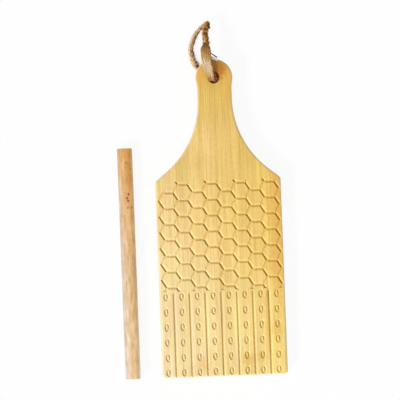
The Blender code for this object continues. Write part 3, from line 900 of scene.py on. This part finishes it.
def jute_material(name, stops, dark, pale, ply_shade_tint=0.0):
    """Dry jute coloured by stops along its line, with flecks; ply_shade_tint browns one ply's slack
    part, partly painted shade.
    """
    material, shader, where = new_material(name, roughness=0.92, specular=0.1)
    tree = shader.id_data
    share = read_mark(tree, "along_share")
    fibres = put(tree, "ShaderNodeGroup", {
        "Color": ramp(share, stops), "Fibre Scale": yarn_fibres, "Fibre Twist": yarn_twist,
        "Depth": yarn_depth, "Dark": opaque(dark), "Pale": opaque(pale)}, node_tree=yarn).outputs
    colour = fibres["Color"]
    # Partly painted shade: the slack leg's second ply, on its side away from the lamp, is browned.
    if ply_shade_tint:
        slack = times(between(share, slack_reach[0] - 0.02, slack_reach[0] + 0.04),
                      between(share, slack_reach[1] + 0.02, slack_reach[1] - 0.04))
        on_second = times(slack, calc("GREATER_THAN", read_mark(tree, "ply_length"), 0.5))
        colour = mixed(on_second, colour, stretched(colour, (ply_shade_tint, 0.8 * ply_shade_tint, 0.6 * ply_shade_tint)))
    colour = stained_and_shaded(colour, where, cord_stains_and_shade)
    finish_material(shader, colour, fibres["Height"], bump_depth=0.0003, bump_strength=0.8)
    return material


twine = twine_tree()
cord_line = laid(cord_route)
loose_line = []
for point in cord_line:
    for middle, reach, shift in loose_parts:
        away = ((point - below_hole).xy - Vector(middle)).length / reach
        point = point + max(0.0, 1 - away ** 2) * shift
    loose_line.append(point)
jute_cord = made_by(twine, "jute_cord", drawn_line(
    "cord_line", loose_line, fullness=fullness_along(cord_line, cord_fullness)), {
    "Ply Radius": ply_radius, "Ply Offset": ply_offset, "Twist Length": ply_twist_length,
    "Slack Turns": slack_turns, "Step": line_step, "Unevenness": ply_unevenness,
    "Material": jute_material(
        "cord_jute", cord_colours_and_hole_shade, (0.16, 0.055, 0.010), (0.84, 0.68, 0.48), far_ply_shade)})
jute_cord.data.shade_smooth()


# The knot that ties the cord's two ends: a short barrel of turns of the same twine, pulled tight
# round the line between them, just past the head of the handle.
knot_turns = 2.8
knot_radius = 0.0018
knot_half_length = 0.0031
knot_slant = 0.0024
knot_steps = 90
knot_pinch = 0.45
knot_ply_offset = 0.00066
knot_twist_length = 0.0080
knot_colours = [(0.00, (0.56, 0.345, 0.120)), (1.00, (0.60, 0.370, 0.135))]


def knot_line(start, end):
    """Turns round the line from start to end, close at both ends and slanting a little."""
    middle = (start + end) / 2
    turn = (end - start).to_track_quat("Z", "X").to_matrix()
    line = []
    for step in range(knot_steps + 1):
        share = step / knot_steps
        angle = 2 * pi * knot_turns * share
        swell = knot_pinch + (1 - knot_pinch) * sqrt(max(0.0, 1 - (2 * share - 1) ** 4))
        local = Vector((knot_radius * swell * cos(angle), knot_radius * swell * sin(angle),
                        knot_half_length * (2 * share - 1) + knot_slant * cos(angle)))
        line.append(middle + turn @ local)
    return line


jute_knot = made_by(twine, "jute_knot", drawn_line(
    "knot_line", knot_line(cord_line[-1], cord_line[0])), {
    "Ply Radius": ply_radius, "Ply Offset": knot_ply_offset, "Twist Length": knot_twist_length,
    "Step": line_step, "Unevenness": ply_unevenness, "Material": jute_material(
        "knot_jute", knot_colours, (0.24, 0.110, 0.030), (0.70, 0.50, 0.25))})
jute_knot.data.shade_smooth()


# The frayed ends: past the knot both ends have come untwisted, and lie as a brush of loose fibres
# along the cord, brown at the knot and pale over the head as far as the hole, where they darken as
# painted shade of the hole. Fibres darker than the cord fill the hole, partly painted shade, and one
# stiff dark fibre of the plant's bark sticks out beside the knot.
fray_route = [
    (-0.0050, 0.0240, 0.0186), (-0.0052, 0.0212, 0.0205), (-0.0054, 0.0184, 0.0213),
    (-0.0053, 0.0156, 0.0211), (-0.0051, 0.0128, 0.0208), (-0.0043, 0.0100, 0.0206),
    (-0.0040, 0.0072, 0.0205), (-0.0031, 0.0044, 0.0199), (-0.0023, 0.0014, 0.0188),
    (-0.0017, -0.0018, 0.0174),
]
fray_fullness = [(0.00, 0.50), (0.08, 0.62), (0.18, 0.98), (0.30, 1.18), (0.42, 1.10), (0.53, 0.95),
                 (0.65, 0.88), (0.78, 0.76), (0.90, 0.66), (1.00, 0.54)]
fray_slant = 0.55
knot_place = (0.0085, 0.1184, 0.0)
# The dark low end of the tones, where the fibres lie over the hole, is painted shade of the hole; the
# brown at the knot end is the fibres' own.
fray_tones_and_hole_shade = [
    (0.1040, (0.46, 0.200, 0.050)), (0.1082, (0.68, 0.420, 0.200)),
    (0.1105, (0.76, 0.570, 0.340)), (0.1150, (0.81, 0.640, 0.430)),
    (0.1180, (0.76, 0.580, 0.365)), (0.1206, (0.64, 0.400, 0.155)),
    (0.1240, (0.47, 0.262, 0.078)), (0.1275, (0.38, 0.180, 0.045)),
    (0.1310, (0.30, 0.120, 0.025)),
]
# The first two darken the band's right edge, partly dark strands and partly the band's painted shadow;
# the third is painted shade of the hole; the fourth is the fibres' own pinkish tone.
fray_stains_and_shade = [
    (0.0134, 0.1163, 0.0014, 0.0042, 0.80, (0.30, 0.155, 0.042)),
    (0.0146, 0.1112, 0.0014, 0.0040, 0.85, (0.28, 0.130, 0.035)),
    (0.0166, 0.1078, 0.0030, 0.0034, 0.92, (0.22, 0.054, 0.006)),
    (0.0142, 0.1052, 0.0011, 0.0012, 0.60, (0.52, 0.260, 0.130)),
]
tuft_route = [(-0.0035, 0.0158, 0.0200), (-0.0012, 0.0147, 0.0192), (0.0010, 0.0137, 0.0182),
              (0.0032, 0.0127, 0.0174)]
stray_route = [(-0.0030, 0.0189, 0.0182), (-0.0008, 0.0174, 0.0184), (0.0014, 0.0158, 0.0180),
               (0.0036, 0.0142, 0.0175)]
wad_radius = 0.0026
wad_turns = 2.2
wad_low, wad_high = 0.0055, 0.0145
wad_steps = 40
face_height = 0.0162
hair_sides = 4
hair_patches = (700.0, 260.0, 700.0)
drift_scale = 300.0
drift_spread = 40.0


def random_turns(given, salt, low, high, which=None):
    """Three random numbers from low to high, for each fibre or for each point."""
    wires = {"Min": low, "Max": high, "Seed": plus(given["Seed"], salt)}
    if which:
        wires["ID"] = which
    return result("FunctionNodeRandomValue", wires, data_type="FLOAT_VECTOR")


def brush_tree():
    """Thin fibres that start together on a line and spread and wander as they go along it."""
    tree, given, out = geometry_tree(
        "loose_brush", Int="Fibres, Seed",
        Float="Root Spread, Tip Spread, Wander, Fibre Radius, Shortest, Lowest")
    many = put(tree, "GeometryNodeDuplicateElements", {
        "Geometry": given["Geometry"], "Amount": given["Fibres"]}, domain="SPLINE").outputs
    which = many["Duplicate Index"]
    share = put(tree, "GeometryNodeSplineParameter").outputs["Factor"]
    root, tip, salt = [random_turns(given, salt, (-1.0, -1.0, -0.25), (1.0, 1.0, 0.25), which)
                       for salt in (1, 2, 3)]
    spread = result("ShaderNodeMix", {"Factor": share, 4: scaled(root, given["Root Spread"]),
                    5: scaled(tip, given["Tip Spread"])}, 1, data_type="VECTOR")
    spread = scaled(spread, read(tree, "Radius"))
    at = read(tree, "Position")
    drift = result("ShaderNodeTexNoise", {"Vector": shifted(
        scaled(at, drift_scale), scaled(salt, drift_spread)), "Scale": 1.0}, "Color")
    drift = scaled(calc_vector("SUBTRACT", drift, (0.5, 0.5, 0.5)), times(share, given["Wander"]))
    there = shifted(shifted(at, spread), drift)
    there = calc_vector("MAXIMUM", there, vector(-10.0, -10.0, given["Lowest"]))
    lines = result("GeometryNodeSetPosition", {"Geometry": many[0], "Position": there})
    end = result("FunctionNodeRandomValue", {2: given["Shortest"], 3: 1.0, "ID": which,
                 "Seed": given["Seed"]}, 1, data_type="FLOAT")
    lines = result("GeometryNodeTrimCurve", {"Curve": lines, "End": end})
    return finish_tree(tube(lines, ring_of(hair_sides, given["Fibre Radius"])), given, out)


def fibre_material(name, pale, dark, tones=()):
    """Single loose jute fibres in patches, pale or in tones set by their place, and dark."""
    material, shader, where = new_material(name, roughness=0.85, specular=0.1)
    patches = noise(where, hair_patches)
    colour = pale
    if tones:
        low, high = tones[0][0], tones[-1][0]
        at = parts_of(calc_vector("SUBTRACT", where, knot_place))
        place = calc("MULTIPLY_ADD", at["X"], fray_slant, plus(at["Y"], knot_place[1]))
        stops = [((y - low) / (high - low), tone) for y, tone in tones]
        colour = ramp(between(place, low, high), stops)
    colour = mixed(between(patches, 0.50, 0.32, 0.0, 0.40), colour, dark)
    if tones:
        colour = stained_and_shaded(colour, where, fray_stains_and_shade)
    rough = between(patches, 0.3, 0.7, 0.78, 0.92)
    finish_material(shader, colour, patches, rough, bump_depth=0.00004, bump_strength=0.5)
    return material


brush = brush_tree()


def brushed(name, line, look, fibres, spread, wander, radius, shortest, seed, tip_spread=None,
            lowest=face_height):
    """Loose fibres along a line, none of them lower than lowest."""
    return made_by(brush, name, line, {
        "Fibres": fibres, "Root Spread": spread, "Tip Spread": tip_spread or spread, "Wander": wander,
        "Fibre Radius": radius, "Shortest": shortest, "Lowest": lowest, "Seed": seed, "Material": look})


fray_line = laid(fray_route, 3)
frayed_ends = brushed(
    "frayed_ends", drawn_line(
        "fray_line", fray_line, fullness=fullness_along(fray_line, fray_fullness)),
    fibre_material("frayed_jute", (0.97, 0.85, 0.66), (0.50, 0.32, 0.15), fray_tones_and_hole_shade),
    fibres=600, spread=0.0034, wander=0.0013, radius=0.00020, shortest=0.80, seed=4)
wad_line = []
for step in range(wad_steps + 1):
    angle = 2 * pi * wad_turns * step / wad_steps
    height = wad_low + (wad_high - wad_low) * step / wad_steps
    wad_line.append(below_hole + Vector((wad_radius * cos(angle), wad_radius * sin(angle), height)))
# The wad's dark red-brown is partly the cord's own and partly painted shade of the hole.
hole_wad = brushed(
    "hole_wad", drawn_line("wad_line", wad_line),
    fibre_material("hole_jute_and_shade", (0.56, 0.130, 0.004), (0.26, 0.048, 0.001)),
    fibres=160, spread=0.0016, wander=0.0016, radius=0.00012, shortest=0.40, seed=7, lowest=0.0008)
side_tuft = brushed(
    "side_tuft", drawn_line("tuft_line", laid(tuft_route, 5)),
    fibre_material("tuft_jute", (0.98, 0.88, 0.78), (0.80, 0.56, 0.36)),
    fibres=45, spread=0.0013, wander=0.0016, radius=0.00008, shortest=0.50, seed=9)
stray_fibre = brushed(
    "stray_fibre", drawn_line("stray_line", laid(stray_route, 5)),
    fibre_material("bark_fibre", (0.10, 0.065, 0.05), (0.03, 0.02, 0.02)),
    fibres=3, spread=0.00022, tip_spread=0.00026, wander=0.0003, radius=0.00022, shortest=0.80, seed=2)


# The fuzz: short fibre ends that stand out all along dry jute twine, bent, and each with a turn
# and a length of its own.
fuzz_radius = 0.00004
fuzz_sides = 3
fuzz_steps = 4
bend_share = 0.45
tip_rise = 1.2


def fuzz_tree():
    """Short bent fibres on a surface, at random places, turns and lengths."""
    tree, given, out = geometry_tree(
        "jute_fuzz", Float="Density, Fibre Length, Fibre Radius", Int="Seed")
    roots = put(tree, "GeometryNodeDistributePointsOnFaces", {
        "Mesh": given["Geometry"], "Density": given["Density"], "Seed": given["Seed"]}).outputs
    height = times(given["Fibre Length"], bend_share)
    bend = result("GeometryNodeCurveQuadraticBezier", {
        "Resolution": fuzz_steps, "Start": (0.0, 0.0, 0.0), "Middle": vector(z=height),
        "End": vector(x=given["Fibre Length"], z=times(height, tip_rise))})
    spin = random_turns(given, 1, (-0.5, -0.5, -pi), (0.5, 0.5, pi))
    turned = result("FunctionNodeRotateRotation", {"Rotation": roots["Rotation"], "Rotate By": spin},
                    rotation_space="LOCAL")
    size = result("FunctionNodeRandomValue", {2: 0.35, 3: 1.3, "Seed": plus(given["Seed"], 2)}, 1,
                  data_type="FLOAT")
    hairs = result("GeometryNodeInstanceOnPoints", {
        "Points": roots["Points"], "Instance": tube(bend, ring_of(fuzz_sides, given["Fibre Radius"])),
        "Rotation": turned, "Scale": size})
    return finish_tree(hairs, given, out)


fuzz = fuzz_tree()
fuzz_jute = fibre_material("fuzz_jute", (0.62, 0.42, 0.19), (0.36, 0.20, 0.07))
cord_fuzz, knot_fuzz = [
    made_by(fuzz, name, base.data, {"Density": density, "Fibre Length": length,
                                    "Fibre Radius": fuzz_radius, "Seed": seed, "Material": fuzz_jute})
    for name, base, density, length, seed in (
        ("cord_fuzz", jute_cord, 520000.0, 0.0014, 11), ("knot_fuzz", jute_knot, 700000.0, 0.0013, 12))]

on_cord = [jute_knot, frayed_ends, side_tuft, hole_wad, stray_fibre, cord_fuzz, knot_fuzz]
for piece in (jute_cord, *on_cord):
    for vert in piece.data.vertices:
        vert.co.z = max(vert.co.z, 0.0)
    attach(piece, "loop")
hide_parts("hanging_cord")
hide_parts("cord_knot")


# The rolling rod: a plain turned beech dowel, cut square at both ends and lightly chamfered,
# which lies loose beside the board. It is pinkish, browner at its upper end, with the short
# red-brown flecks of its rays. Across it the colour carries painted light: paler, bluer edges as
# a painted reflection of the white table, and a lighter side away from the lamp.
rod_low, rod_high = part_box("rolling_rod")
rod_radius = (rod_high[2] - rod_low[2]) / 2
rod_start = ((rod_low[0] + rod_high[0]) / 2, rod_low[1], (rod_low[2] + rod_high[2]) / 2)
rod_length = rod_high[1] - rod_low[1]
rod_chamfer = 0.0004
rod_steps = 96
rod_sharp_angle = radians(25)
rod_tones = [
    (0.00, (0.80, 0.570, 0.330)), (0.50, (0.77, 0.520, 0.275)),
    (0.80, (0.74, 0.440, 0.180)), (1.00, (0.73, 0.390, 0.115)),
]
# Painted light across the rod: paler, bluer edges as a painted reflection, and the side away from the
# lamp painted lighter.
rod_painted_side_light = [
    (0.00, (0.42, 0.51, 0.78)), (0.25, (0.45, 0.49, 0.62)),
    (0.50, (0.515, 0.505, 0.495)), (0.80, (0.56, 0.56, 0.50)),
    (1.00, (0.62, 0.68, 0.86)),
]
beech_fine_grain = (1900.0, 60.0, 1900.0)
beech_broad_grain = (260.0, 9.0, 260.0)
beech_blotches = (420.0, 110.0, 420.0)
ray_flecks = (900.0, 330.0, 900.0)
ray_bands = (330.0, 45.0, 330.0)
beech_dark_grain = (0.82, 0.72, 0.58)
beech_pale_grain = (1.18, 1.28, 1.42)
fleck_brown = (0.48, 0.20, 0.06)
ray_red = (0.44, 0.095, 0.016)
end_brown = (0.42, 0.200, 0.030)
rod_marks = [
    (0.0012, 0.1375, 0.0026, 0.0085, 0.50, (0.88, 0.435, 0.195)),
    (0.0020, 0.1402, 0.0010, 0.0013, 0.95, ray_red),
    (0.0008, 0.1373, 0.0010, 0.0013, 0.95, ray_red),
    (0.0016, 0.1352, 0.0011, 0.0011, 0.95, ray_red),
    (0.0012, 0.1300, 0.0008, 0.0010, 0.70, ray_red),
    (0.0042, 0.1302, 0.0007, 0.0010, 0.50, ray_red),
    (-0.0008, 0.1415, 0.0007, 0.0009, 0.40, ray_red),
    (0.0010, 0.1640, 0.0012, 0.0015, 0.60, end_brown),
    (0.0028, 0.1630, 0.0008, 0.0014, 0.50, end_brown),
    (0.0004, 0.1700, 0.0030, 0.0032, 0.60, (0.84, 0.380, 0.120)),
    (0.0030, 0.1560, 0.0012, 0.0180, 0.50, (0.80, 0.340, 0.080)),
]


def rod_mesh():
    rings = [(rod_radius - rod_chamfer, 0.0), (rod_radius - rod_chamfer * 0.3, rod_chamfer * 0.3),
             (rod_radius, rod_chamfer)]
    upper = [(reach, rod_length - y) for reach, y in reversed(rings)]
    profile = [(0.0, 0.0), *rings, *upper, (0.0, rod_length)]
    return turned_mesh("beech_rod", profile, (0, 1, 0), rod_steps, rod_start)


def beech_material():
    material, shader, where = new_material("sanded_beech", roughness=0.55, specular=0.3)
    place = result("ShaderNodeMapping", {"Vector": where, "Location": rod_start}, vector_type="TEXTURE")
    fine = noise(place, beech_fine_grain, 3.0)
    broad = noise(place, beech_broad_grain)
    blotches = noise(place, beech_blotches)
    light = swayed(swayed(broad, fine, 1.1), blotches, 1.8)
    at = parts_of(place)
    tone = ramp(calc("DIVIDE", at["Y"], rod_length), rod_tones)
    # Painted light and reflection, by the place across the rod.
    side = ramp(between(at["X"], -rod_radius, rod_radius), rod_painted_side_light)
    tint = stretched(mixed(light, beech_dark_grain, beech_pale_grain), scaled(side, 2.0))
    colour = stretched(tone, tint)
    few, distance = chosen_cells(place, ray_flecks, 0.80)
    band = between(noise(place, ray_bands, 1.0), 0.50, 0.60)
    spot = times(between(distance, 0.20, 0.45, 0.65, 0.0), times(few, band))
    colour = stained_and_shaded(mixed(spot, colour, fleck_brown), place, rod_marks)
    rough = between(fine, 0.0, 1.0, 0.48, 0.66)
    finish_material(shader, colour, fine, rough, bump_depth=0.0001, bump_strength=0.4)
    return material


beech_rod = link("beech_rod", rod_mesh())
beech_rod.data.materials.append(beech_material())
beech_rod.data.shade_smooth()
beech_rod.data.set_sharp_from_angle(angle=rod_sharp_angle)
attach(beech_rod, "rod")
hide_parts("rolling_rod")


# The table: a plain white sheet that keeps a faint shadow, under even light from all round and
# one broad lamp at the left, towards the board's lower end.
floor_half = 3.0
floor_drop = 0.0002
floor_white = (0.9, 0.9, 0.9)
full_white = (1.0, 1.0, 1.0)
white_share = 0.92
shade_reach = 0.020
shade_samples = 8
lamp_heading = Vector((0.588, 0.455, -0.669))
lamp_strength = 1.95
lamp_softness = radians(11)
sky_strength = 0.60

bm = bmesh.new()
bmesh.ops.create_grid(bm, x_segments=1, y_segments=1, size=floor_half)
bmesh.ops.translate(bm, verts=bm.verts[:], vec=(0.0, 0.0, -floor_drop))
table = link("table", mesh_from(bm, "table"))


def seen_rays(tree):
    """1 for rays that show the background: from the camera, in gloss and through glass."""
    rays = put(tree, "ShaderNodeLightPath").outputs
    direct = calc("MAXIMUM", rays["Is Camera Ray"], rays["Is Glossy Ray"])
    return calc("MAXIMUM", direct, rays["Is Transmission Ray"])


table_white = bpy.data.materials.new("table_white")
table_white.use_nodes = True
table_tree = table_white.node_tree
table_tree.nodes.clear()
matt = put(table_tree, "ShaderNodeBsdfDiffuse", {"Color": opaque(floor_white)}).outputs[0]
glow = put(table_tree, "ShaderNodeEmission", {"Color": opaque(full_white), "Strength": 1.0}).outputs[0]
openness = put(table_tree, "ShaderNodeAmbientOcclusion", {
    "Distance": shade_reach}, samples=shade_samples).outputs["AO"]
lit = between(openness, 0.05, 0.40, 0.0, white_share)
surface = result("ShaderNodeMixShader", {0: times(seen_rays(table_tree), lit), 1: matt, 2: glow})
put(table_tree, "ShaderNodeOutputMaterial", {"Surface": surface})
table.data.materials.append(table_white)

sky = bpy.data.worlds.new("sky")
sky.use_nodes = True
level = result("ShaderNodeMix", {"Factor": seen_rays(sky.node_tree), 2: sky_strength, 3: 1.0},
               data_type="FLOAT")
background = sky.node_tree.nodes["Background"]
background.inputs["Color"].default_value = opaque(full_white)
sky.node_tree.links.new(level, background.inputs["Strength"])
scene.world = sky

lamp_data = bpy.data.lights.new("lamp", "SUN")
lamp_data.energy = lamp_strength
lamp_data.angle = lamp_softness
lamp = link("lamp", lamp_data)
lamp.rotation_euler = lamp_heading.to_track_quat("-Z", "Y").to_euler()
